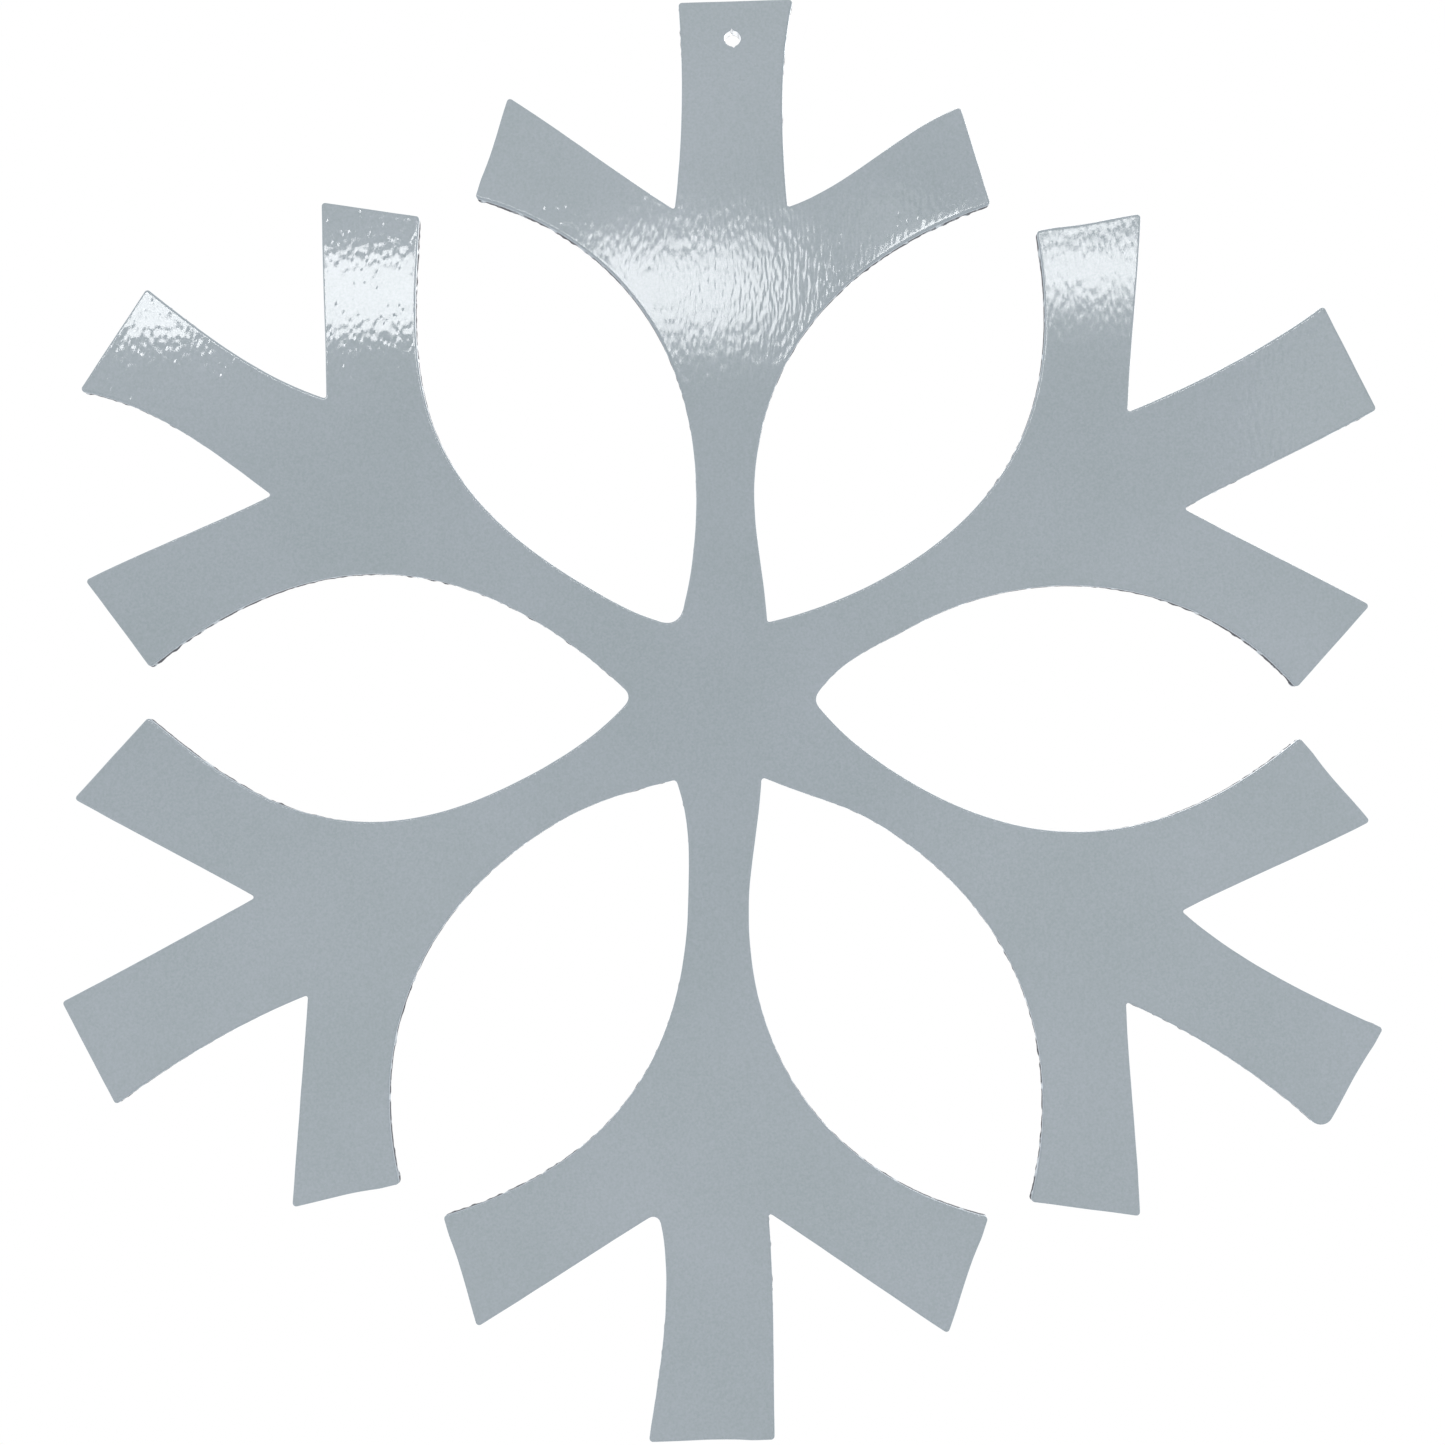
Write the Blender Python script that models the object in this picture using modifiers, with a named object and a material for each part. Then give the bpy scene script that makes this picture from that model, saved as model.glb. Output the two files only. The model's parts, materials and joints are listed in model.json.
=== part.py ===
"""Six-armed snowflake ornament, cut from one steel sheet and powder coated.

It hangs upright in the XZ plane from the hole near the end of its top arm, with its front towards -Y.
The world origin is the centre of that hole, halfway through the sheet.

The outline is drawn around the hub in millimetres, as complex numbers: the real part runs to the right
and the imaginary part runs up. Half an arm is drawn along the real axis, so its real parts run outwards
along the arm and its imaginary parts are distances from the arm's centre line.
"""

import cmath
import math
from dataclasses import dataclass, replace

import bmesh
import bpy

MM = 0.001

# The sheet and its coat
STEEL_THICKNESS = 1.9
COAT_THICKNESS = 0.1
COAT_CLEARANCE = 0.05

# The hanging hole, seen from the hub
HOLE_DIAMETER = 3.8
HOLE_CENTRE = complex(-0.3, 143.9)

# Corner radii: the cutting torch leaves the first one in a notch and on a prong's corner
CUT_RADIUS = 0.6
WIDE_NOTCH_RADIUS = 1.8
WORN_TIP_RADIUS = 2.4
STRAIGHTEST_CORNER = 0.05

# How finely the curves are divided
STEPS_PER_CURVE = 5
STEPS_PER_HOLE_QUARTER = 8
WAIST_CURVE_PARTS = 2
SWEEP_CURVE_PARTS = 4

ARM_ANGLES = {
    "top": 90,
    "upper_left": 150,
    "lower_left": 210,
    "bottom": 270,
    "lower_right": 330,
    "upper_right": 30,
}
HALF_SPACING = 30
CLOCKWISE = -1
ANTICLOCKWISE = 1


@dataclass(frozen=True)
class HalfArm:
    """Half an arm: its corners, and pulls, which are the curve handles measured from a corner."""

    valley_pull: complex = 8 - 2.5j
    waist: complex = 41.5 + 6j
    waist_pull_in: float = 8
    waist_pull_out: float = 37
    near_pull: complex = -10 - 28j
    near_corner: complex = 108 + 56j
    far_corner: complex = 129.5 + 48.5j
    far_pull: complex = -7.5 - 12j
    notch_pull: complex = 7.5 + 12j
    notch: complex = 105.5 + 11.5j
    notch_radius: float = CUT_RADIUS
    prong_pull: complex = 15 - 1.5j
    tip_pull: complex = -15 - 2j
    tip: complex = 152.5 + 12.5j
    tip_radius: float = CUT_RADIUS


@dataclass(frozen=True)
class Valley:
    """The corner between two arms: its place along and beside the line between them, and its radius."""

    place: complex
    radius: float


# The pattern was drawn by hand, so each half-arm strays a little from the regular one
REGULAR = HalfArm()
HALF_ARMS = {
    ("top", CLOCKWISE): replace(
        REGULAR,
        valley_pull=8 - 0.5j,
        waist=44.5 + 5.8j,
        waist_pull_out=33,
        near_corner=108 + 55.5j,
        far_corner=129 + 49j,
        far_pull=-5.5 - 13.5j,
        notch_pull=5 + 14j,
        notch=106.5 + 12j,
        tip_pull=-15 - 3j,
    ),
    ("top", ANTICLOCKWISE): replace(
        REGULAR,
        waist=41.5 + 6.2j,
        near_pull=-7 - 28j,
        near_corner=108 + 55j,
        far_corner=130 + 48.5j,
        notch=105.5 + 12j,
        tip_pull=-15 - 1.5j,
        tip=151.5 + 12j,
    ),
    ("upper_left", CLOCKWISE): replace(
        REGULAR,
        valley_pull=8 - 3j,
        waist=39 + 6j,
        waist_pull_out=45,
        near_pull=-15 - 28j,
        near_corner=110 + 56j,
        far_corner=129.5 + 48j,
        notch=106 + 12j,
        prong_pull=15 - 3.5j,
        tip=152 + 12.5j,
    ),
    ("upper_left", ANTICLOCKWISE): replace(
        REGULAR,
        valley_pull=8 - 2j,
        waist=42.5 + 5.6j,
        far_corner=129.5 + 47.5j,
        notch=105 + 11.5j,
        tip_pull=-15 - 6j,
        tip=152.5 + 13.5j,
    ),
    ("lower_left", CLOCKWISE): replace(
        REGULAR,
        valley_pull=8 - 3.5j,
        waist_pull_out=43,
        near_pull=-11 - 28j,
        prong_pull=15 + 0j,
        tip_pull=-15 - 0.5j,
        tip=151.5 + 12j,
    ),
    ("lower_left", ANTICLOCKWISE): replace(
        REGULAR,
        valley_pull=8 - 2j,
        waist=40.5 + 5.2j,
        near_pull=-7 - 28j,
        near_corner=107.5 + 55j,
        far_corner=129 + 48.5j,
        prong_pull=15 - 2j,
        tip=151.5 + 12j,
    ),
    ("bottom", CLOCKWISE): replace(
        REGULAR,
        valley_pull=9 - 3.5j,
        waist=41.5 + 6.4j,
        waist_pull_out=40,
        near_pull=-9 - 28j,
        far_corner=130 + 48.5j,
        notch=106 + 11.5j,
        notch_radius=WIDE_NOTCH_RADIUS,
        prong_pull=15 - 4j,
    ),
    ("bottom", ANTICLOCKWISE): replace(
        REGULAR,
        valley_pull=8 + 0j,
        waist=42.5 + 6j,
        near_pull=-6 - 28j,
        near_corner=106 + 56.5j,
        notch=105.5 + 11j,
        prong_pull=15 + 1.5j,
        tip_pull=-15 - 0.5j,
        tip=151.5 + 13j,
    ),
    ("lower_right", CLOCKWISE): replace(
        REGULAR,
        valley_pull=9 - 1j,
        waist=40.5 + 5.2j,
        waist_pull_out=38,
        near_pull=-8 - 28j,
        far_corner=128.5 + 47j,
        notch=104 + 10.5j,
        prong_pull=15 - 2j,
        tip_pull=-15 - 3.5j,
        tip_radius=WORN_TIP_RADIUS,
    ),
    ("lower_right", ANTICLOCKWISE): replace(
        REGULAR,
        valley_pull=8 - 3.5j,
        waist=42 + 5.6j,
        waist_pull_out=38,
        near_corner=108 + 55.5j,
        far_corner=129 + 48j,
        notch=104.5 + 11.5j,
        prong_pull=15 - 3j,
        tip=152.5 + 12j,
    ),
    ("upper_right", CLOCKWISE): replace(
        REGULAR,
        valley_pull=8 - 5j,
        waist=42 + 5.4j,
        waist_pull_out=34,
        near_pull=-5 - 28j,
        near_corner=107 + 56j,
        far_corner=129 + 48.5j,
        notch=105 + 11.5j,
        prong_pull=15 + 0j,
        tip_pull=-15 + 0j,
        tip=151.5 + 13j,
    ),
    ("upper_right", ANTICLOCKWISE): replace(
        REGULAR,
        waist=42.5 + 6.2j,
        waist_pull_out=38,
        near_corner=108 + 55.5j,
        far_corner=129 + 48j,
        notch=105 + 12j,
        prong_pull=15 - 2j,
        tip=153 + 11.5j,
    ),
}
VALLEYS = {
    0: Valley(19 + 0.6j, 2.7),
    60: Valley(19 + 0.6j, 0.7),
    120: Valley(18.5 + 0.4j, 3.7),
    180: Valley(19 - 0.8j, 2.3),
    240: Valley(19 + 0j, 1.0),
    300: Valley(17.5 - 0.6j, 0.8),
}

COLLECTION_NAME = "snowflake_ornament"
COAT_GREY = (0.356, 0.407, 0.440)
COAT_ROUGHNESS = 0.15
STEEL_GREY = (0.42, 0.43, 0.44)
STEEL_ROUGHNESS = 0.45


# ---------------------------------------------------------------- curves of the outline


def direction(degrees):
    """The unit step at an angle from the real axis."""
    return cmath.rect(1, math.radians(degrees))


def straight(start, end):
    """A straight stretch as a cubic curve."""
    third = (end - start) / 3
    return (start, start + third, end - third, end)


def divide(curve, share):
    """Cut a cubic curve in two at a share of its parameter."""
    start, start_handle, end_handle, end = curve
    first = start + (start_handle - start) * share
    middle = start_handle + (end_handle - start_handle) * share
    last = end_handle + (end - end_handle) * share
    before = first + (middle - first) * share
    after = middle + (last - middle) * share
    cut = before + (after - before) * share
    return (start, first, before, cut), (cut, after, last, end)


def parts_of(curve, count):
    """Cut a cubic curve into equal shares of its parameter."""
    parts = []
    for left in range(count, 1, -1):
        part, curve = divide(curve, 1 / left)
        parts.append(part)
    return parts + [curve]


def half_arm_curves(valley, arm):
    """The edges of half an arm, from the valley beside it out to the middle prong's tip."""
    waist_in = arm.waist - arm.waist_pull_in
    waist_out = arm.waist + arm.waist_pull_out
    near, far, notch, tip = arm.near_corner, arm.far_corner, arm.notch, arm.tip
    return [
        (valley, valley + arm.valley_pull, waist_in, arm.waist),
        (arm.waist, waist_out, near + arm.near_pull, near),
        straight(near, far),
        (far, far + arm.far_pull, notch + arm.notch_pull, notch),
        (notch, notch + arm.prong_pull, tip + arm.tip_pull, tip),
    ]


def round_corner(before, after, radius):
    """Shorten two curves that meet at a corner, and return them with the arc that joins them."""
    arrival = before[3] - before[2]
    departure = after[1] - after[0]
    turn = abs(cmath.phase(departure / arrival))
    if turn < STRAIGHTEST_CORNER:
        return before, None, after
    trim = radius * math.tan(turn / 2)
    before = divide(before, 1 - trim / (3 * abs(arrival)))[0]
    after = divide(after, trim / (3 * abs(departure)))[1]
    reach = radius * math.tan(turn / 4) * 4 / 3
    start_handle = before[3] + arrival / abs(arrival) * reach
    end_handle = after[0] - departure / abs(departure) * reach
    return before, (before[3], start_handle, end_handle, after[0]), after


def side_of_arm(arm_name, side):
    """One side of an arm in hub coordinates, from its valley to its tip, with each curve's parts and the
    radius of the corner that it starts at."""
    arm = HALF_ARMS[arm_name, side]
    arm_angle = ARM_ANGLES[arm_name]
    valley_angle = (arm_angle + side * HALF_SPACING) % 360
    valley = VALLEYS[valley_angle]
    valley_corner = valley.place * direction(valley_angle - arm_angle)
    if side == CLOCKWISE:
        valley_corner = valley_corner.conjugate()
    curves = half_arm_curves(valley_corner, arm)
    if side == CLOCKWISE:
        curves = [tuple(point.conjugate() for point in curve) for curve in curves]
    curves = [tuple(point * direction(arm_angle) for point in curve) for curve in curves]
    parts = [WAIST_CURVE_PARTS, SWEEP_CURVE_PARTS, 1, 1, 1]
    radii = [valley.radius, 0, CUT_RADIUS, CUT_RADIUS, arm.notch_radius]
    return curves, parts, radii


def edges_of_arm(arm_name):
    """All edges of one arm, anticlockwise: (curve, parts, radius of the corner that it starts at)."""
    out_curves, out_parts, out_radii = side_of_arm(arm_name, CLOCKWISE)
    home_curves, home_parts, home_radii = side_of_arm(arm_name, ANTICLOCKWISE)
    out_tip_radius = HALF_ARMS[arm_name, CLOCKWISE].tip_radius
    home_tip_radius = HALF_ARMS[arm_name, ANTICLOCKWISE].tip_radius
    end_of_prong = straight(out_curves[-1][3], home_curves[-1][3])
    home_curves = [tuple(reversed(curve)) for curve in reversed(home_curves)]
    home_radii = [home_tip_radius] + home_radii[:0:-1]
    edges = list(zip(out_curves, out_parts, out_radii))
    edges.append((end_of_prong, 1, out_tip_radius))
    edges += zip(home_curves, reversed(home_parts), home_radii)
    return edges


def outline_curves():
    """The closed outline around the hub, anticlockwise, with its corners rounded."""
    edges = [edge for arm_name in ARM_ANGLES for edge in edges_of_arm(arm_name)]
    curves = [curve for curve, parts, radius in edges]
    arcs = [None] * len(edges)
    for index, (_, _, radius) in enumerate(edges):
        if radius:
            rounded = round_corner(curves[index - 1], curves[index], radius)
            curves[index - 1], arcs[index], curves[index] = rounded
    outline = []
    for arc, curve, (_, parts, _) in zip(arcs, curves, edges):
        if arc:
            outline.append(arc)
        outline += parts_of(curve, parts)
    return outline


def circle_curves(centre, radius):
    """A circle as four quarter curves."""
    reach = radius * math.tan(math.pi / 8) * 4 / 3
    quarters = []
    for quarter in range(4):
        start = direction(90 * quarter)
        end = direction(90 * (quarter + 1))
        start_handle = start * radius + 1j * start * reach
        end_handle = end * radius - 1j * end * reach
        quarters.append(
            (
                centre + start * radius,
                centre + start_handle,
                centre + end_handle,
                centre + end * radius,
            )
        )
    return quarters


# ---------------------------------------------------------------- Blender objects


def clear_scene():
    for item in list(bpy.data.objects):
        bpy.data.objects.remove(item, do_unlink=True)


def new_collection(name):
    collection = bpy.data.collections.new(name)
    bpy.context.scene.collection.children.link(collection)
    return collection


def new_material(name, colour, roughness, metallic):
    material = bpy.data.materials.new(name)
    material.use_nodes = True
    shader = material.node_tree.nodes["Principled BSDF"]
    shader.inputs["Base Color"].default_value = (*colour, 1)
    shader.inputs["Roughness"].default_value = roughness
    shader.inputs["Metallic"].default_value = metallic
    return material


def at(point):
    """A point of the drawing as a place on a curve object, in metres."""
    return (point.real * MM, point.imag * MM, 0)


def add_spline(curve_data, curves, steps):
    """Add one closed Bezier spline made of cubic curves that follow each other."""
    spline = curve_data.splines.new("BEZIER")
    spline.bezier_points.add(len(curves) - 1)
    spline.use_cyclic_u = True
    spline.resolution_u = steps
    for index, curve in enumerate(curves):
        point = spline.bezier_points[index]
        point.handle_left_type = "FREE"
        point.handle_right_type = "FREE"
        point.co = at(curve[0])
        point.handle_left = at(curves[index - 1][2])
        point.handle_right = at(curve[1])


def add_snowflake(collection, name, thickness, grow):
    """The snowflake's flat outline with its hole, grown sideways everywhere but at the hole."""
    curve_data = bpy.data.curves.new(name, "CURVE")
    curve_data.dimensions = "2D"
    curve_data.fill_mode = "BOTH"
    curve_data.extrude = thickness / 2 * MM
    curve_data.offset = grow * MM
    add_spline(curve_data, outline_curves(), STEPS_PER_CURVE)
    hole = circle_curves(HOLE_CENTRE, HOLE_DIAMETER / 2 + grow)
    add_spline(curve_data, hole, STEPS_PER_HOLE_QUARTER)
    snowflake = bpy.data.objects.new(name, curve_data)
    snowflake.rotation_euler = (math.radians(90), 0, 0)
    snowflake.location = (-HOLE_CENTRE.real * MM, 0, -HOLE_CENTRE.imag * MM)
    collection.objects.link(snowflake)
    return snowflake


def curve_to_mesh(source):
    """Replace a curve object with a mesh object of the same name, whose caps are welded to its sides."""
    bpy.context.view_layer.update()
    depsgraph = bpy.context.evaluated_depsgraph_get()
    mesh = bpy.data.meshes.new_from_object(source.evaluated_get(depsgraph))
    shape = bmesh.new()
    shape.from_mesh(mesh)
    bmesh.ops.remove_doubles(shape, verts=shape.verts, dist=0.001 * MM)
    shape.to_mesh(mesh)
    shape.free()
    name = source.name
    collection = source.users_collection[0]
    matrix = source.matrix_world.copy()
    bpy.data.objects.remove(source, do_unlink=True)
    result = bpy.data.objects.new(name, mesh)
    result.matrix_world = matrix
    collection.objects.link(result)
    return result


def open_hole_wall(item):
    """Delete the faces round the hole, so that the surface is open there."""
    shape = bmesh.new()
    shape.from_mesh(item.data)
    centre = at(HOLE_CENTRE)
    reach = HOLE_DIAMETER * MM
    wall = []
    for face in shape.faces:
        middle = face.calc_center_median()
        beside_hole = math.hypot(middle.x - centre[0], middle.y - centre[1]) < reach
        if beside_hole and abs(face.normal.z) < 0.5:
            wall.append(face)
    bmesh.ops.delete(shape, geom=wall, context="FACES")
    shape.to_mesh(item.data)
    shape.free()


def make_steel_plate(collection):
    """The cut sheet: one flat piece with the hanging hole through it."""
    plate = add_snowflake(collection, "steel_plate", STEEL_THICKNESS, 0)
    plate.data.materials.append(new_material("cut_steel", STEEL_GREY, STEEL_ROUGHNESS, 1))


def make_powder_coat(collection):
    """The baked film over both faces and the cut edge. The hook that carried the sheet through the oven
    kept it out of the hole, whose wall is bare."""
    middle_of_film = COAT_CLEARANCE + COAT_THICKNESS / 2
    thickness = STEEL_THICKNESS + 2 * middle_of_film
    coat = curve_to_mesh(add_snowflake(collection, "powder_coat", thickness, middle_of_film))
    open_hole_wall(coat)
    film = coat.modifiers.new("film", "SOLIDIFY")
    film.solidify_mode = "NON_MANIFOLD"
    film.nonmanifold_thickness_mode = "CONSTRAINTS"
    film.nonmanifold_boundary_mode = "FLAT"
    film.nonmanifold_merge_threshold = 0.001 * MM
    film.thickness = COAT_THICKNESS * MM
    film.offset = 0
    coat.data.materials.append(new_material("grey_powder", COAT_GREY, COAT_ROUGHNESS, 0))


clear_scene()
parts = new_collection(COLLECTION_NAME)
make_steel_plate(parts)
make_powder_coat(parts)
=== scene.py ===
"""Looks for a powder-coated steel snowflake ornament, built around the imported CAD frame.

The ornament hangs in the XZ plane with its front towards -Y. The drawing functions work in millimetres,
because the details are fractions of one: a point of an outline is the complex number x + zj, and a
point of a surface is (x, y, z). make_piece() turns them into the frame's metres.
"""

import json
import math

import bpy
from mathutils import Euler, Matrix, Vector, kdtree, noise
from mathutils.geometry import delaunay_2d_cdt


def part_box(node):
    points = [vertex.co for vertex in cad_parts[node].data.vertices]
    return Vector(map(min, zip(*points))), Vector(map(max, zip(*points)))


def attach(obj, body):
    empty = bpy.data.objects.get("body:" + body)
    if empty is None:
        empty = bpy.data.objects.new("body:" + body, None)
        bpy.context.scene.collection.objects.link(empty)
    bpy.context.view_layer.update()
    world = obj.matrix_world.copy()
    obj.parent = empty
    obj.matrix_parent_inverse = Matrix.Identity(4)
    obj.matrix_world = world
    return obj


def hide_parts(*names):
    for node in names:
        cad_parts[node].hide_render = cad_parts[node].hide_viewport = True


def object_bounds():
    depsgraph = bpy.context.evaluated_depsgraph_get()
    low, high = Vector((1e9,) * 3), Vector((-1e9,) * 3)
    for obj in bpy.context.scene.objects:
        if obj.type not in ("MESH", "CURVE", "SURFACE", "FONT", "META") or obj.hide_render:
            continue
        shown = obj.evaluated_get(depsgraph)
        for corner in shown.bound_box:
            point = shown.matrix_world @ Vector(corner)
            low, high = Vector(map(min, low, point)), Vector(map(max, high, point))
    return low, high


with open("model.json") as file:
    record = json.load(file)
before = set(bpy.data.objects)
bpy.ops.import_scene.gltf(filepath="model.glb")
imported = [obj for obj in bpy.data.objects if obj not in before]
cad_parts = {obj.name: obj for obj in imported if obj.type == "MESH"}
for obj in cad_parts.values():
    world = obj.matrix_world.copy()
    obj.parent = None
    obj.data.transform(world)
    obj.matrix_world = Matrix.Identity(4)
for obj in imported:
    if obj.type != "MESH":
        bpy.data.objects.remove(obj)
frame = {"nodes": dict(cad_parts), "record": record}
cad_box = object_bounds()

MM = 0.001
FRONT = -1
BACK = 1

# What the CAD gives
COAT_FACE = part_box("powder_coat")[1].y / MM
STEEL_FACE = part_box("steel_plate")[1].y / MM
COAT_FILM = 0.1
STEEL_INSET = 0.15

# How closely the outline is followed
OUTLINE_PITCH = 0.5
HOLE_POINTS = 120
CORNER_CHORD_RATIO = 3
FACE_TOLERANCE = 0.00001
CROSSING_TOLERANCE = 0.0001
SHARP_ANGLE = math.radians(50)

# The rounded rim of the coat, and the fat edge behind it. Each row of points in the face is (depth from
# the edge, how many points of the outline a step along the row takes).
RIM_RADIUS = 0.4
RIM_STEPS = 5
BEAD_HEIGHT = 0.010
BEAD_END = 1.9
BEAD_ROWS = ((0.56, 1), (0.76, 1), (1.0, 1), (1.3, 2), (1.6, 2), (1.9, 2), (2.25, 3), (2.8, 4))
ROW_TOLERANCE = 0.04
WALL_ROWS = 6
WALL_DEPTH = -1.0
LATTICE_START = 3.6
LATTICE_PITCH = 5.0

# The torch's marks on the cut edge, strongest at the back, where the melt ran off. Some stretches of the
# edge are rougher than others: the dross keeps a share of its depth that swings about a mean.
DROSS_DEPTH = 0.30
DROSS_LENGTH = 1.3
EDGE_WAVE_DEPTH = 0.04
EDGE_WAVE_LENGTH = 5.0
EDGE_WAVE_SEED = 1.0
DROSS_LEAST_SHARE = 0.1
DROSS_MEAN_SHARE = 0.5
DROSS_SWING = 1.6
DROSS_SWING_LENGTH = 26.0
DROSS_SWING_SEED = 5.0

# The sheet isn't perfectly flat
WARP_DEPTH = 0.03
WARP_LENGTH = 60.0
WARP_SEED = 7.3
WARP_FREE_RADIUS = 25.0

# The lower edge of the top arm's right prong has rolled back a little
CURL_CENTRE = complex(40, -45)
CURL_LENGTH = 16.0
CURL_WIDTH = 3.0
CURL_HEIGHT = 0.06

# The hanging hole. Each nick that the torch left is (degrees, depth, half width in degrees).
HOLE_NICKS = ((97, 0.42, 7), (-80, 0.3, 8))
HOLE_RADIUS = 1.78
HOLE_CENTRE = complex(0, -0.17)
HOLE_UNEVENNESS = 0.05
HOLE_LUMPS = 1.7
HOLE_SEED = 4.2
HOLE_RIM_RADIUS = 0.09
HOLE_ROWS = ((0.25, 4), (0.5, 4), (1.0, 4), (1.8, 4))
HOLE_WALL_ROWS = 6

# Dark, rough patches painted into the coat's colour along the back rim of the wall. They fade in between the
# two places front to back, and fade out between the two depths from the edge.
BACK_RIM_DARK_COLOUR = (0.075, 0.075, 0.085)
BACK_RIM_DARK_ROUGHNESS = 0.6
BACK_RIM_DARK_PLACES = (-0.5, -0.2)
BACK_RIM_DARK_DEPTHS = (0.1, 0.35)
BACK_RIM_PATCH_LENGTH = 2.2
BACK_RIM_PATCH_SEED = 6.0

# The gloss of the coat, and how much less of it there is where the coat is satin
GLOSS_ROUGHNESS = 0.05
SATIN_EXTRA = 0.045

# Where the powder ran before it set: the root of the top arm, and the upper right prong, which is nearly as
# satin and has smaller runs. Each place is (centre, radii, the share of the radii where it starts to fade).
ROOT_PLACE = ((1, 0, -52), (42, 50, 44), 0.4)
PRONG_PLACE = ((80, 0, -50), (38, 50, 48), 0.6)
PRONG_SATIN = 0.9
PRONG_RUNS = 0.6

# The coat's colour: fine mottling on wide clouds
MOTTLE_SIZE = 0.45
CLOUD_SIZE = 30.0
CLOUD_SHARE = 0.3

# The coat's relief: the orange peel, its pits and the runs, each with a size, how far it is drawn out
# downwards, and a depth. Peel and pits keep only a share of their depth where the powder ran.
PEEL_SIZE = 0.95
PEEL_STRETCH = 2.0
PEEL_DEPTH = 0.018
PEEL_SHARE_IN_RUNS = 0.35
PIT_SPACING = 1.3
PIT_STRETCH = 2.4
PIT_DEPTH = 0.012
PIT_FLOOR = 0.03
PIT_EDGE = 0.28
PIT_SHARE_IN_SATIN = 0.2
RUN_WIDTH = 0.65
RUN_STRETCH = 3.5
RUN_DEPTH = 0.036
RUN_SEED = 3.0

# The bare steel in the hole
STAIN_SIZE = 0.9
DRAG_LINE_WIDTH = 0.18
DRAG_LINE_STRETCH = 8
DRAG_LINE_DEPTH = 0.03

# Camera: aimed at the hub from just below it, with a slight lean
MOUNTS = {mount["name"]: Vector(mount["pos_m"]) for mount in frame["record"]["mounts"]}
HUB = MOUNTS["front_face"]
CAMERA_AIM = HUB + Vector((0.0, 0.0011, -0.0044))
CAMERA_DISTANCE = 0.2935
CAMERA_LENS = 34.58
CAMERA_NEAR = 0.01
SENSOR_WIDTH = 36
CAMERA_YAW = math.radians(0.54)
CAMERA_PITCH = math.radians(3.0)
CAMERA_LEAN = math.radians(0.95)

# Studio, in metres. The room's light is banded by height, and the bands lean with HORIZON_NORMAL. The
# strips and cards stand in a plane in front of the ornament: the strips, as (left, right, height, width,
# radiance), show in the gloss as the band of glare. The cards, as (across, height, length, width, lean,
# radiance), show as lighter patches, and the last one as the highlight on the rolled-back edge.
HORIZON_NORMAL = Vector((-0.35, 0, 0.94))
FLOOR_DROP = 0.45
FLOOR_RADIUS = 0.9
FLOOR_SIDES = 96
STRIPS = (
    (-0.80, -0.25, 0.374, 0.086, 12.0),
    (-0.25, 0.045, 0.386, 0.102, 12.0),
    (0.25, 0.60, 0.420, 0.064, 14.0),
)
STRIP_DISTANCE = 1.2
STRIP_TILT = 0.04
CARDS = (
    (0.165, 0.455, 0.11, 0.10, 0.0, 0.8),
    (0.68, 0.27, 0.24, 0.22, 0.0, 0.5),
    (0.230, 0.402, 0.16, 0.070, 0.47, 9.0),
)
BACK_LIGHT_CENTRE = Vector((0.5, 1.3, 0.7))
BACK_LIGHT_SIZE = 0.9
BACK_LIGHT_RADIANCE = 3.0


# Outlines

def skin_outlines(node, face_y):
    """The closed outlines, longest first, of the flat CAD skin at that Y. The metal is on their left."""
    vertices = node.data.vertices
    directed = {}
    for polygon in node.data.polygons:
        if any(abs(vertices[i].co.y - face_y) > FACE_TOLERANCE for i in polygon.vertices):
            continue
        corners = [
            complex(round(vertices[i].co.x / MM, 3), round(vertices[i].co.z / MM, 3))
            for i in polygon.vertices
        ]
        for start, end in zip(corners, corners[1:] + corners[:1]):
            directed[start, end] = True
    following = {start: end for start, end in directed if (end, start) not in directed}
    loops = []
    while following:
        first, point = following.popitem()
        loop = [first]
        while point != first:
            loop.append(point)
            point = following.pop(point)
        loops.append(loop)
    return sorted(loops, key=len, reverse=True)


def unit(vector):
    return vector / abs(vector)


def corner_arc_way(near, far, farther):
    """The way a corner's arc sets off from its first point, from the turn between its first two chords."""
    turn = unit(farther - far) / unit(far - near)
    return unit(far - near) / turn ** 0.5


def way_at(before, point, after, second_before, second_after):
    """The outline's direction at a point. Beside a corner's short chords, the corner's arc decides."""
    arriving, leaving = point - before, after - point
    if abs(arriving) > CORNER_CHORD_RATIO * abs(leaving):
        return corner_arc_way(point, after, second_after)
    if abs(leaving) > CORNER_CHORD_RATIO * abs(arriving):
        return -corner_arc_way(point, before, second_before)
    return unit(unit(arriving) * abs(leaving) + unit(leaving) * abs(arriving))


def smooth_loop(loop, pitch):
    """The loop redrawn as one smooth curve, with a point about every pitch."""
    count = len(loop)
    ways = [
        way_at(loop[i - 1], point, loop[(i + 1) % count], loop[i - 2], loop[(i + 2) % count])
        for i, point in enumerate(loop)
    ]
    smooth = []
    for i, start in enumerate(loop):
        end = loop[(i + 1) % count]
        handle_length = abs(end - start) / 3
        start_handle = start + ways[i] * handle_length
        end_handle = end - ways[(i + 1) % count] * handle_length
        steps = max(1, round(abs(end - start) / pitch))
        for step in range(steps):
            t = step / steps
            smooth.append(
                start * (1 - t) ** 3
                + start_handle * 3 * t * (1 - t) ** 2
                + end_handle * 3 * t ** 2 * (1 - t)
                + end * t ** 3
            )
    return smooth


def outward_ways(loop):
    """Unit vectors at each point of a closed loop that point away from the metal."""
    count = len(loop)
    return [-1j * unit(loop[(i + 1) % count] - loop[i - 1]) for i in range(count)]


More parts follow.
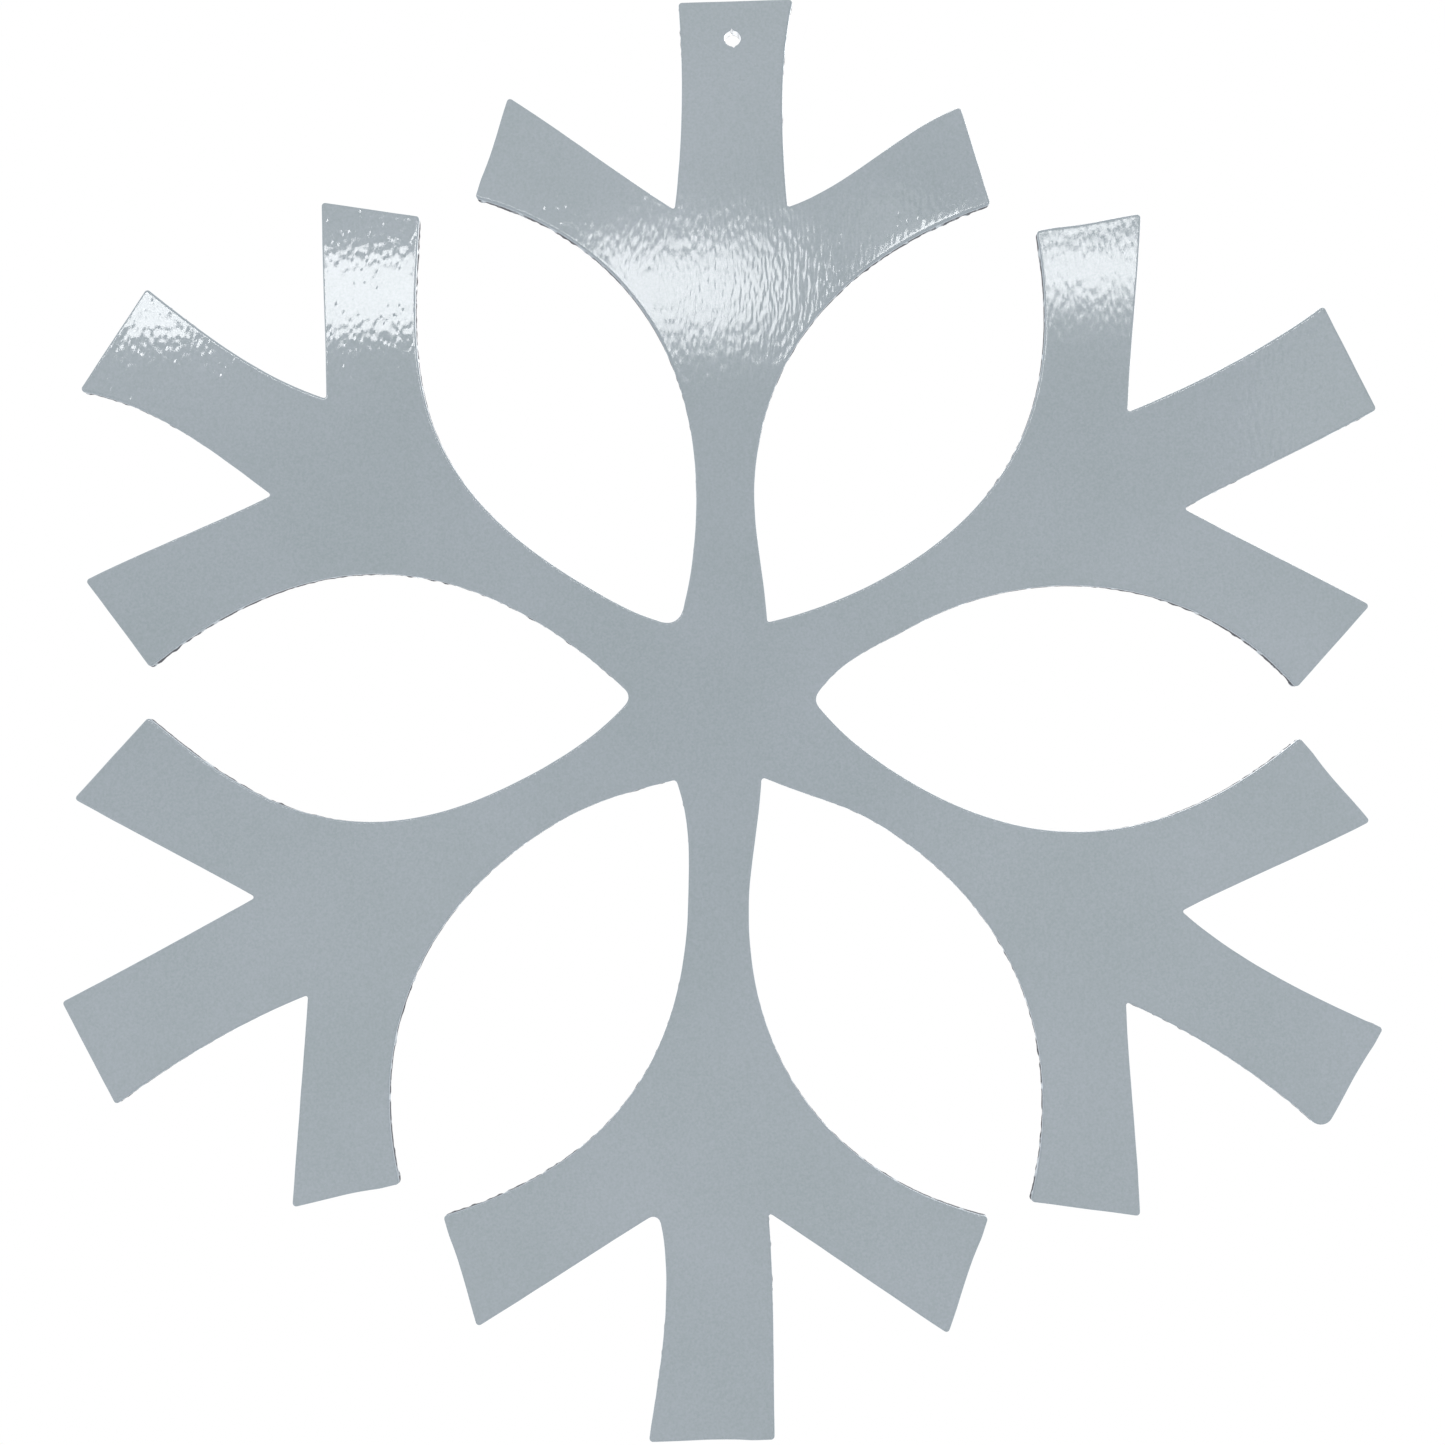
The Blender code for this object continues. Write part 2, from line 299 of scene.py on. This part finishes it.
def cut_hole():
    """The hanging hole as the torch left it: not quite round, with nicks. The metal is on its left."""
    loop = []
    for i in range(HOLE_POINTS):
        angle = -math.tau * i / HOLE_POINTS
        way = complex(math.cos(angle), math.sin(angle))
        lump = noise.noise((way.real * HOLE_LUMPS, way.imag * HOLE_LUMPS, HOLE_SEED))
        radius = HOLE_RADIUS + HOLE_UNEVENNESS * lump
        for nick_degrees, depth, half_width in HOLE_NICKS:
            away = math.degrees(math.remainder(angle - math.radians(nick_degrees), math.tau))
            radius += depth * math.exp(-((away / half_width) ** 2))
        loop.append(HOLE_CENTRE + way * radius)
    return loop


def is_inside(place, loop):
    """Whether a place is inside a closed loop."""
    inside = False
    for start, end in zip(loop, loop[1:] + loop[:1]):
        if (start.imag > place.imag) != (end.imag > place.imag):
            share = (place.imag - start.imag) / (end.imag - start.imag)
            if place.real < start.real + share * (end.real - start.real):
                inside = not inside
    return inside


# Surfaces

def warp(place):
    """How far the sheet has bent out of its plane there."""
    bend = noise.noise((place.real / WARP_LENGTH, place.imag / WARP_LENGTH, WARP_SEED))
    return WARP_DEPTH * bend * min(1.0, (abs(place) / WARP_FREE_RADIUS) ** 2)


def bead(depth):
    """How far the coat stands up at that distance in from its edge."""
    t = min(1.0, max(0.0, (depth - RIM_RADIUS) / (BEAD_END - RIM_RADIUS)))
    return BEAD_HEIGHT * (1 - t) ** 2 * (1 + 2 * t)


def curl(place, depth):
    """How far the edge at that place and depth has rolled back."""
    t = min(1.0, max(0.0, 1 - depth / CURL_WIDTH))
    return CURL_HEIGHT * t * t * math.exp(-((abs(place - CURL_CENTRE) / CURL_LENGTH) ** 2))


def torch_marks(place, backness):
    """How far the cut edge stands out there. Backness runs from 0 at the front face to 1 at the back."""
    wave = noise.noise((place.real / EDGE_WAVE_LENGTH, place.imag / EDGE_WAVE_LENGTH, EDGE_WAVE_SEED))
    swing = noise.noise((place.real / DROSS_SWING_LENGTH, place.imag / DROSS_SWING_LENGTH, DROSS_SWING_SEED))
    lumps = noise.noise((place.real / DROSS_LENGTH, place.imag / DROSS_LENGTH, backness))
    share = min(1.0, max(DROSS_LEAST_SHARE, DROSS_MEAN_SHARE + DROSS_SWING * swing))
    return EDGE_WAVE_DEPTH * wave + DROSS_DEPTH * share * lumps * backness ** 2


def moved(loop, ways, inset, backness=None):
    """The loop moved into the metal by the inset, with the torch's marks if it lies on a cut edge."""
    places = []
    for point, way in zip(loop, ways):
        marks = 0.0 if backness is None else torch_marks(point, backness)
        places.append(point + way * (marks - inset))
    return places


class Surface:
    """Points and faces of a surface, collected ring by ring, each point with its depth from the edge."""

    def __init__(self):
        self.points = []
        self.depths = []
        self.faces = []

    def add_ring(self, places, y, depth):
        """Adds a ring of points that bends with the sheet, and gives their numbers."""
        first = len(self.points)
        for place in places:
            self.points.append((place.real, y + warp(place) + curl(place, depth), place.imag))
            self.depths.append(depth)
        return list(range(first, len(self.points)))

    def bridge(self, rings):
        """Joins each ring to the next. The first is the nearest to the front."""
        for ring, next_ring in zip(rings, rings[1:]):
            for i, corner in enumerate(ring):
                j = (i + 1) % len(ring)
                self.faces.append((corner, next_ring[i], next_ring[j], ring[j]))

    def cap(self, outline, hole, inner, side):
        """Fills the face between two rings through the inner points. Side is FRONT or BACK."""
        numbers = outline + hole + inner
        flat = [Vector((self.points[n][0], self.points[n][2])) for n in numbers]
        split = len(outline)
        edges = [(k, (k + 1) % split) for k in range(split)]
        edges += [(split + k, split + (k + 1) % len(hole)) for k in range(len(hole))]
        _, _, faces, sources, _, _ = delaunay_2d_cdt(flat, edges, [], 1, CROSSING_TOLERANCE)
        hole_places = [complex(*flat[split + k]) for k in range(len(hole))]
        hole_numbers = set(hole)
        for face in faces:
            corners = [numbers[sources[k][0]] for k in face]
            if hole_numbers.issuperset(corners):
                middle = sum(complex(self.points[n][0], self.points[n][2]) for n in corners) / 3
                if is_inside(middle, hole_places):
                    continue
            self.faces.append(tuple(corners[::-side]))

    def turn_over(self):
        """Makes every face look the other way."""
        self.faces = [face[::-1] for face in self.faces]

    def take(self, other):
        """Adds another surface's points and faces, and gives how far its point numbers moved."""
        first = len(self.points)
        self.points += other.points
        self.depths += other.depths
        self.faces += [tuple(first + n for n in face) for face in other.faces]
        return first


def rows_inside(loop, ways, rows, nearest_edge):
    """Places in rows of (depth, step) along a loop, without those too near another edge."""
    found = {}
    for depth, step in rows:
        places = moved(loop[::step], ways[::step], depth)
        found[depth] = [p for p in places if nearest_edge(p) > depth - ROW_TOLERANCE]
    return found


def lattice_inside(outline, nearest_edge):
    """Places in a lattice over the middle of the metal."""
    low = complex(min(p.real for p in outline), min(p.imag for p in outline))
    high = complex(max(p.real for p in outline), max(p.imag for p in outline))
    places = []
    row_height = LATTICE_PITCH * math.sqrt(3) / 2
    for row in range(int((high.imag - low.imag) / row_height)):
        for column in range(int((high.real - low.real) / LATTICE_PITCH)):
            along = (column + row % 2 / 2) * LATTICE_PITCH
            place = low + complex(along, row * row_height)
            if nearest_edge(place) > LATTICE_START and is_inside(place, outline):
                places.append(place)
    return places


def edge_finder(loops):
    """A function that gives how far a place is from the nearest edge."""
    points = [point for loop in loops for point in loop]
    tree = kdtree.KDTree(len(points))
    for i, point in enumerate(points):
        tree.insert((point.real, point.imag, 0), i)
    tree.balance()
    return lambda place: tree.find((place.real, place.imag, 0))[2]


def rim_places(radius, steps):
    """(inset, drop below the face, share of the bead) round a rim, from the face to the wall."""
    turns = [math.pi / 2 * step / steps for step in range(steps + 1)]
    return [(radius * (1 - math.sin(a)), radius * (1 - math.cos(a)), math.cos(a)) for a in turns]


def add_coat_face(surface, outline, hole, side, rows, lattice, hole_rows):
    """Adds one flat face of the coat with its rims. Gives its rings, from the face to the walls."""
    outline_ways, hole_ways = outward_ways(outline), outward_ways(hole)
    backness = 0.0 if side == FRONT else 1.0
    rings = []
    for inset, drop, share in rim_places(RIM_RADIUS, RIM_STEPS):
        y = side * (COAT_FACE - drop + BEAD_HEIGHT * share)
        rings.append(surface.add_ring(moved(outline, outline_ways, inset, backness), y, inset))
    hole_rings = []
    for inset, drop, _ in rim_places(HOLE_RIM_RADIUS, RIM_STEPS):
        y = side * (COAT_FACE - drop)
        hole_rings.append(surface.add_ring(moved(hole, hole_ways, inset), y, inset))
    inner = []
    for depth, places in rows.items():
        inner += surface.add_ring(places, side * (COAT_FACE + bead(depth)), depth)
    for depth, places in hole_rows.items():
        inner += surface.add_ring(places, side * COAT_FACE, depth)
    inner += surface.add_ring(lattice, side * COAT_FACE, LATTICE_START)
    surface.cap(rings[0], hole_rings[0], inner, side)
    surface.bridge(rings[::-side])
    surface.bridge(hole_rings[::-side])
    return rings, hole_rings


def coat_surface(outline, hole):
    """The coat: its outside, the inside that lies on the steel, and its thin edges at the hole."""
    surface = Surface()
    outline_ways, hole_ways = outward_ways(outline), outward_ways(hole)
    nearest_edge = edge_finder([outline, hole])
    rows = rows_inside(outline, outline_ways, BEAD_ROWS, nearest_edge)
    hole_rows = rows_inside(hole, hole_ways, HOLE_ROWS, nearest_edge)
    lattice = lattice_inside(outline, nearest_edge)
    wall_end = COAT_FACE - RIM_RADIUS
    outer_ends, hole_ends = {}, {}
    for side in (FRONT, BACK):
        rings, hole_rings = add_coat_face(surface, outline, hole, side, rows, lattice, hole_rows)
        outer_ends[side] = rings[-1]
        hole_ends[side] = hole_rings[-1]
    wall = [outer_ends[FRONT]]
    for row in range(1, WALL_ROWS):
        backness = row / WALL_ROWS
        places = moved(outline, outline_ways, 0, backness)
        wall.append(surface.add_ring(places, wall_end * (2 * backness - 1), WALL_DEPTH))
    wall.append(outer_ends[BACK])
    surface.bridge(wall)

    inside = Surface()
    inside_rings = {}
    inner_face = COAT_FACE - COAT_FILM
    for side in (FRONT, BACK):
        backness = 0.0 if side == FRONT else 1.0
        bevel = moved(outline, outline_ways, RIM_RADIUS, backness)
        outer = inside.add_ring(bevel, side * inner_face, 0.0)
        ring = inside.add_ring(hole, side * inner_face, 0.0)
        middle = inside.add_ring(lattice, side * inner_face, LATTICE_START)
        inside.cap(outer, ring, middle, side)
        shoulder = side * (inner_face - RIM_RADIUS + COAT_FILM)
        edge = inside.add_ring(moved(outline, outline_ways, COAT_FILM, backness), shoulder, 0.0)
        inside.bridge([outer, edge][::-side])
        inside_rings[side] = (edge, ring)
    inside.bridge([inside_rings[FRONT][0], inside_rings[BACK][0]])
    inside.turn_over()
    first = surface.take(inside)
    for side in (FRONT, BACK):
        inside_ring = [first + n for n in inside_rings[side][1]]
        surface.bridge([hole_ends[side], inside_ring][::-side])
    return surface


def steel_surface(outline, hole):
    """The cut sheet inside the coat. Only the wall of its hole shows."""
    surface = Surface()
    ways = outward_ways(outline)
    edges, hole_edges = [], []
    nearest_edge = edge_finder([outline, hole])
    lattice = lattice_inside(outline, nearest_edge)
    for side in (FRONT, BACK):
        backness = 0.0 if side == FRONT else 1.0
        bevel = moved(outline, ways, RIM_RADIUS + STEEL_INSET, backness)
        face_ring = surface.add_ring(bevel, side * STEEL_FACE, 0.0)
        shoulder = side * (STEEL_FACE - RIM_RADIUS + STEEL_INSET)
        wall_ring = surface.add_ring(moved(outline, ways, STEEL_INSET, backness), shoulder, 0.0)
        hole_ring = surface.add_ring(hole, side * STEEL_FACE, 0.0)
        middle = surface.add_ring(lattice, side * STEEL_FACE, 0.0)
        surface.cap(face_ring, hole_ring, middle, side)
        edges += [face_ring, wall_ring][::-side]
        hole_edges.append(hole_ring)
    surface.bridge(edges)
    wall = [hole_edges[0]]
    for row in range(1, HOLE_WALL_ROWS):
        y = STEEL_FACE * (2 * row / HOLE_WALL_ROWS - 1)
        wall.append(surface.add_ring(hole, y, WALL_DEPTH))
    wall.append(hole_edges[1])
    surface.bridge(wall)
    return surface


def make_piece(name, surface, material):
    """A mesh object in metres, with each point's depth from the edge kept for its material."""
    mesh = bpy.data.meshes.new(name)
    points = [(x * MM, y * MM, z * MM) for x, y, z in surface.points]
    mesh.from_pydata(points, [], surface.faces)
    depths = mesh.attributes.new("edge_depth", "FLOAT", "POINT")
    depths.data.foreach_set("value", surface.depths)
    mesh.validate()
    mesh.shade_smooth()
    mesh.set_sharp_from_angle(angle=SHARP_ANGLE)
    mesh.materials.append(material)
    piece = bpy.data.objects.new(name, mesh)
    bpy.context.scene.collection.objects.link(piece)
    return piece


# Materials

def new_material(name):
    """An empty node material with one shader."""
    material = bpy.data.materials.new(name)
    material.use_nodes = True
    tree = material.node_tree
    tree.nodes.clear()
    output = tree.nodes.new("ShaderNodeOutputMaterial")
    shader = tree.nodes.new("ShaderNodeBsdfPrincipled")
    tree.links.new(shader.outputs["BSDF"], output.inputs["Surface"])
    return material, tree, shader


def add_place(tree, size_mm, stretch, seed=0.0):
    """The place on the object, in a unit of that size in millimetres, stretched along the axes."""
    place = tree.nodes.new("ShaderNodeTexCoord")
    mapping = tree.nodes.new("ShaderNodeMapping")
    mapping.inputs["Scale"].default_value = [1 / (size_mm * MM * s) for s in stretch]
    mapping.inputs["Location"].default_value = (seed, seed, seed)
    tree.links.new(place.outputs["Object"], mapping.inputs["Vector"])
    return mapping.outputs["Vector"]


def add_noise(tree, size_mm, detail=2.0, stretch=(1, 1, 1), seed=0.0):
    """Noise whose blobs are about that size in millimetres, stretched along the axes."""
    cloud = tree.nodes.new("ShaderNodeTexNoise")
    cloud.inputs["Scale"].default_value = 1.0
    cloud.inputs["Detail"].default_value = detail
    tree.links.new(add_place(tree, size_mm, stretch, seed), cloud.inputs["Vector"])
    return cloud.outputs["Fac"]


def add_cells(tree, size_mm, stretch=(1, 1, 1)):
    """The distance from the nearest of scattered points that lie about that far apart, in that unit."""
    cells = tree.nodes.new("ShaderNodeTexVoronoi")
    cells.inputs["Scale"].default_value = 1.0
    tree.links.new(add_place(tree, size_mm, stretch), cells.inputs["Vector"])
    return cells.outputs["Distance"]


def add_range(tree, value, low, high, new_low, new_high):
    """Maps a value from one range to another, and holds it at the ends."""
    node = tree.nodes.new("ShaderNodeMapRange")
    tree.links.new(value, node.inputs["Value"])
    node.inputs["From Min"].default_value = low
    node.inputs["From Max"].default_value = high
    node.inputs["To Min"].default_value = new_low
    node.inputs["To Max"].default_value = new_high
    return node.outputs["Result"]


def add_math(tree, operation, *values):
    """A math node on sockets or numbers."""
    node = tree.nodes.new("ShaderNodeMath")
    node.operation = operation
    for socket, value in zip(node.inputs, values):
        if isinstance(value, (int, float)):
            socket.default_value = value
        else:
            tree.links.new(value, socket)
    return node.outputs["Value"]


def add_ramp(tree, value, stops):
    """A colour for each value, from (value, red, green, blue) stops."""
    node = tree.nodes.new("ShaderNodeValToRGB")
    elements = node.color_ramp.elements
    while len(elements) < len(stops):
        elements.new(0.5)
    for element, (position, *colour) in zip(elements, stops):
        element.position = position
        element.color = (*colour, 1.0)
    tree.links.new(value, node.inputs["Fac"])
    return node.outputs["Color"]


def add_share(tree, value, share):
    """A value times a share, each a socket or a number."""
    return add_math(tree, "MULTIPLY", value, share)


def add_bump(tree, height, depth_mm, normal=None):
    """A bump of that depth for a height from 0 to 1."""
    node = tree.nodes.new("ShaderNodeBump")
    node.inputs["Distance"].default_value = depth_mm * MM
    tree.links.new(height, node.inputs["Height"])
    if normal is not None:
        tree.links.new(normal, node.inputs["Normal"])
    return node.outputs["Normal"]


def add_depth(tree):
    """The distance from the cut edge in millimetres, below 0 on the wall."""
    node = tree.nodes.new("ShaderNodeAttribute")
    node.attribute_name = "edge_depth"
    return node.outputs["Fac"]


def nearness(tree, centre_mm, radii_mm, fade_start):
    """1 near a centre, down to 0 at the radii. It starts to fade at that share of the radii."""
    place = tree.nodes.new("ShaderNodeTexCoord")
    mapping = tree.nodes.new("ShaderNodeMapping")
    mapping.vector_type = "TEXTURE"
    mapping.inputs["Location"].default_value = [c * MM for c in centre_mm]
    mapping.inputs["Scale"].default_value = [r * MM for r in radii_mm]
    length = tree.nodes.new("ShaderNodeVectorMath")
    length.operation = "LENGTH"
    tree.links.new(place.outputs["Object"], mapping.inputs["Vector"])
    tree.links.new(mapping.outputs["Vector"], length.inputs[0])
    return add_range(tree, length.outputs["Value"], fade_start, 1.0, 1.0, 0.0)


def add_mix(tree, share, first, second):
    """The first colour, giving way to the second as the share goes from 0 to 1."""
    node = tree.nodes.new("ShaderNodeMix")
    node.data_type = "RGBA"
    tree.links.new(share, node.inputs["Factor"])
    tree.links.new(first, node.inputs["A"])
    node.inputs["B"].default_value = (*second, 1)
    return node.outputs["Result"]


def add_dark_rim_patches(tree):
    """Where the coat is painted dark: patches along the back rim of the wall."""
    place = tree.nodes.new("ShaderNodeTexCoord")
    split = tree.nodes.new("ShaderNodeSeparateXYZ")
    tree.links.new(place.outputs["Object"], split.inputs["Vector"])
    near_back = add_range(tree, split.outputs["Y"], *[place * MM for place in BACK_RIM_DARK_PLACES], 0.0, 1.0)
    near_edge = add_range(tree, add_depth(tree), *BACK_RIM_DARK_DEPTHS, 1.0, 0.0)
    cloud = add_noise(tree, BACK_RIM_PATCH_LENGTH, 2.0, seed=BACK_RIM_PATCH_SEED)
    patches = add_range(tree, cloud, 0.37, 0.45, 0.0, 1.0)
    return add_share(tree, patches, add_share(tree, near_back, near_edge))


def powder_colour(tree):
    """Light grey with a faint mottling."""
    mottle = add_noise(tree, MOTTLE_SIZE, 2.0)
    clouds = add_noise(tree, CLOUD_SIZE, 2.0)
    mix = add_math(tree, "MULTIPLY_ADD", clouds, CLOUD_SHARE, add_share(tree, mottle, 1 - CLOUD_SHARE))
    return add_ramp(tree, mix, [
        (0.3, 0.314, 0.366, 0.386),
        (0.5, 0.346, 0.393, 0.423),
        (0.7, 0.378, 0.420, 0.460),
    ])


def powder_relief(tree, satin, runs):
    """Orange peel with pits, drawn out downwards where the powder ran. Satin and runs are shares."""
    peel = add_noise(tree, PEEL_SIZE, 0.0, stretch=(1, 1, PEEL_STRETCH))
    peel_share = add_range(tree, runs, 0.0, 1.0, 1.0, PEEL_SHARE_IN_RUNS)
    cells = add_cells(tree, PIT_SPACING, stretch=(1, 1, PIT_STRETCH))
    pits = add_range(tree, cells, PIT_FLOOR, PIT_EDGE, 0.0, 1.0)
    pit_share = add_range(tree, satin, 0.0, 1.0, 1.0, PIT_SHARE_IN_SATIN)
    streaks = add_noise(tree, RUN_WIDTH, 0.3, stretch=(1, 1, RUN_STRETCH), seed=RUN_SEED)
    normal = add_bump(tree, add_share(tree, peel, peel_share), PEEL_DEPTH)
    normal = add_bump(tree, add_share(tree, pits, pit_share), PIT_DEPTH, normal)
    return add_bump(tree, add_share(tree, streaks, runs), RUN_DEPTH, normal)


def powder_material():
    """Gloss light grey powder coat, satin where it ran, with dark, rough patches painted along the back rim.
    """
    material, tree, shader = new_material("grey_powder_finish")
    dark_patches = add_dark_rim_patches(tree)
    # The coat's colour is painted dark, and made rougher below, in patches along the back rim of the wall.
    colour = add_mix(tree, dark_patches, powder_colour(tree), BACK_RIM_DARK_COLOUR)
    tree.links.new(colour, shader.inputs["Base Color"])

    near_root = nearness(tree, *ROOT_PLACE)
    near_prong = nearness(tree, *PRONG_PLACE)
    satin = add_math(tree, "MAXIMUM", near_root, add_share(tree, near_prong, PRONG_SATIN))
    runs = add_math(tree, "MAXIMUM", near_root, add_share(tree, near_prong, PRONG_RUNS))
    gloss = add_math(tree, "MULTIPLY_ADD", satin, SATIN_EXTRA, GLOSS_ROUGHNESS)
    roughness = add_math(tree, "MULTIPLY_ADD", dark_patches, BACK_RIM_DARK_ROUGHNESS, gloss)
    tree.links.new(roughness, shader.inputs["Roughness"])
    tree.links.new(powder_relief(tree, satin, runs), shader.inputs["Normal"])
    return material


def steel_material():
    """Bare cut steel with the torch's drag lines across the edge and a little oxide."""
    material, tree, shader = new_material("cut_steel_finish")
    shader.inputs["Metallic"].default_value = 1.0
    stain = add_noise(tree, STAIN_SIZE, 3.0)
    colour = add_ramp(tree, stain, [
        (0.35, 0.74, 0.74, 0.74),
        (0.60, 0.90, 0.90, 0.90),
        (0.80, 0.88, 0.85, 0.80),
    ])
    tree.links.new(colour, shader.inputs["Base Color"])
    tree.links.new(add_range(tree, stain, 0.3, 0.7, 0.28, 0.42), shader.inputs["Roughness"])
    drag_lines = add_noise(tree, DRAG_LINE_WIDTH, 2.0, stretch=(1, DRAG_LINE_STRETCH, 1))
    tree.links.new(add_bump(tree, drag_lines, DRAG_LINE_DEPTH), shader.inputs["Normal"])
    return material


def floor_material():
    """Pale matt studio floor."""
    material, tree, shader = new_material("pale_floor")
    cloud = add_noise(tree, 180.0, 3.0)
    colour = add_ramp(tree, cloud, [(0.3, 0.78, 0.78, 0.79), (0.7, 0.84, 0.84, 0.84)])
    tree.links.new(colour, shader.inputs["Base Color"])
    shader.inputs["Roughness"].default_value = 0.7
    return material


# Studio

def make_camera():
    """A camera at the photograph's angle."""
    data = bpy.data.cameras.new("photo_camera")
    data.sensor_width = SENSOR_WIDTH
    data.lens = CAMERA_LENS
    data.clip_start = CAMERA_NEAR
    camera = bpy.data.objects.new("photo_camera", data)
    bpy.context.scene.collection.objects.link(camera)
    turn = (
        Matrix.Rotation(CAMERA_YAW, 4, "Z")
        @ Matrix.Rotation(math.pi / 2 + CAMERA_PITCH, 4, "X")
        @ Matrix.Rotation(CAMERA_LEAN, 4, "Z")
    )
    back = turn @ Vector((0, 0, CAMERA_DISTANCE))
    camera.matrix_world = Matrix.Translation(CAMERA_AIM + back) @ turn
    bpy.context.scene.camera = camera


def make_floor():
    """A round pale floor below the ornament."""
    bpy.ops.mesh.primitive_circle_add(vertices=FLOOR_SIDES, radius=FLOOR_RADIUS, fill_type="NGON")
    floor = bpy.context.active_object
    floor.name = "studio_floor"
    floor.location = (HUB.x, 0, cad_box[0].z - FLOOR_DROP)
    floor.data.materials.append(floor_material())


def make_area_light(name, centre, size, radiance, turn, shape="RECTANGLE"):
    """A light of that shape and radiance that the camera doesn't see."""
    data = bpy.data.lights.new(name, "AREA")
    data.shape = shape
    data.size, data.size_y = size
    data.energy = radiance * math.pi * size[0] * size[1]
    light = bpy.data.objects.new(name, data)
    light.location = centre
    light.rotation_euler = turn
    light.visible_camera = False
    bpy.context.scene.collection.objects.link(light)
    return light


def make_lights():
    """The strips and cards in front, which only the gloss shows, and a soft light behind."""
    for number, (left, right, height, width, radiance) in enumerate(STRIPS, 1):
        centre = Vector(((left + right) / 2, -STRIP_DISTANCE, height))
        turn = Euler((math.pi / 2, -STRIP_TILT, 0))
        strip = make_area_light(f"strip_light_{number}", centre, (right - left, width), radiance, turn)
        strip.visible_diffuse = False
    for number, (across, height, length, width, lean, radiance) in enumerate(CARDS, 1):
        centre = Vector((across, -STRIP_DISTANCE, height))
        turn = Euler((math.pi / 2, -lean, 0))
        card = make_area_light(f"card_{number}", centre, (length, width), radiance, turn, "ELLIPSE")
        card.visible_diffuse = False
    aim = (HUB - BACK_LIGHT_CENTRE).to_track_quat("-Z", "Y").to_euler()
    back_size = (BACK_LIGHT_SIZE, BACK_LIGHT_SIZE)
    make_area_light("back_light", BACK_LIGHT_CENTRE, back_size, BACK_LIGHT_RADIANCE, aim)


def make_world():
    """Light all round, brightest behind and darkest straight in front. The camera sees only white."""
    world = bpy.data.worlds.new("studio")
    bpy.context.scene.world = world
    world.use_nodes = True
    tree = world.node_tree
    tree.nodes.clear()
    way = tree.nodes.new("ShaderNodeTexCoord").outputs["Generated"]
    split = tree.nodes.new("ShaderNodeSeparateXYZ")
    tree.links.new(way, split.inputs["Vector"])
    frontness = add_range(tree, split.outputs["Y"], 1.0, -1.0, 0.0, 1.0)
    lean = tree.nodes.new("ShaderNodeVectorMath")
    lean.operation = "DOT_PRODUCT"
    lean.inputs[1].default_value = HORIZON_NORMAL
    tree.links.new(way, lean.inputs[0])
    upness = add_range(tree, lean.outputs["Value"], -1.0, 1.0, 0.0, 1.0)
    round_colour = add_ramp(tree, frontness, [
        (0.00, 1.25, 1.28, 1.32),
        (0.20, 1.00, 1.04, 1.10),
        (0.45, 0.75, 0.80, 0.88),
        (0.70, 0.90, 0.90, 0.90),
        (0.95, 1.00, 1.00, 1.00),
        (0.99, 1.00, 1.00, 1.00),
        (1.00, 0.60, 0.60, 0.60),
    ])
    height_colour = add_ramp(tree, upness, [
        (0.00, 0.90, 0.90, 0.90),
        (0.35, 1.12, 1.12, 1.12),
        (0.45, 1.17, 1.17, 1.17),
        (0.52, 1.08, 1.08, 1.08),
        (0.58, 0.72, 0.72, 0.72),
        (0.66, 0.72, 0.72, 0.72),
        (0.71, 1.35, 1.35, 1.35),
        (1.00, 1.00, 1.00, 1.00),
    ])
    product = tree.nodes.new("ShaderNodeMix")
    product.data_type = "RGBA"
    product.blend_type = "MULTIPLY"
    product.inputs["Factor"].default_value = 1.0
    colour_a, colour_b = [s for s in product.inputs if s.type == "RGBA"]
    product_colour = next(s for s in product.outputs if s.type == "RGBA")
    tree.links.new(round_colour, colour_a)
    tree.links.new(height_colour, colour_b)
    room = tree.nodes.new("ShaderNodeBackground")
    tree.links.new(product_colour, room.inputs["Color"])
    backdrop = tree.nodes.new("ShaderNodeBackground")
    backdrop.inputs["Color"].default_value = (1, 1, 1, 1)
    choose = tree.nodes.new("ShaderNodeMixShader")
    seen = tree.nodes.new("ShaderNodeLightPath").outputs["Is Camera Ray"]
    tree.links.new(seen, choose.inputs["Fac"])
    tree.links.new(room.outputs["Background"], choose.inputs[1])
    tree.links.new(backdrop.outputs["Background"], choose.inputs[2])
    output = tree.nodes.new("ShaderNodeOutputWorld")
    tree.links.new(choose.outputs["Shader"], output.inputs["Surface"])


def make_ornament():
    """The coat and the sheet inside it."""
    coat_node = frame["nodes"]["powder_coat"]
    outline = smooth_loop(skin_outlines(coat_node, -COAT_FACE * MM)[0], OUTLINE_PITCH)
    hole = cut_hole()

    coat = make_piece("coat_skin", coat_surface(outline, hole), powder_material())
    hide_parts("powder_coat")
    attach(coat, "root")

    sheet = make_piece("cut_sheet", steel_surface(outline, hole), steel_material())
    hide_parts("steel_plate")
    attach(sheet, "root")


make_camera()
make_ornament()
make_floor()
make_lights()
make_world()
bpy.context.scene.view_settings.view_transform = "Standard"
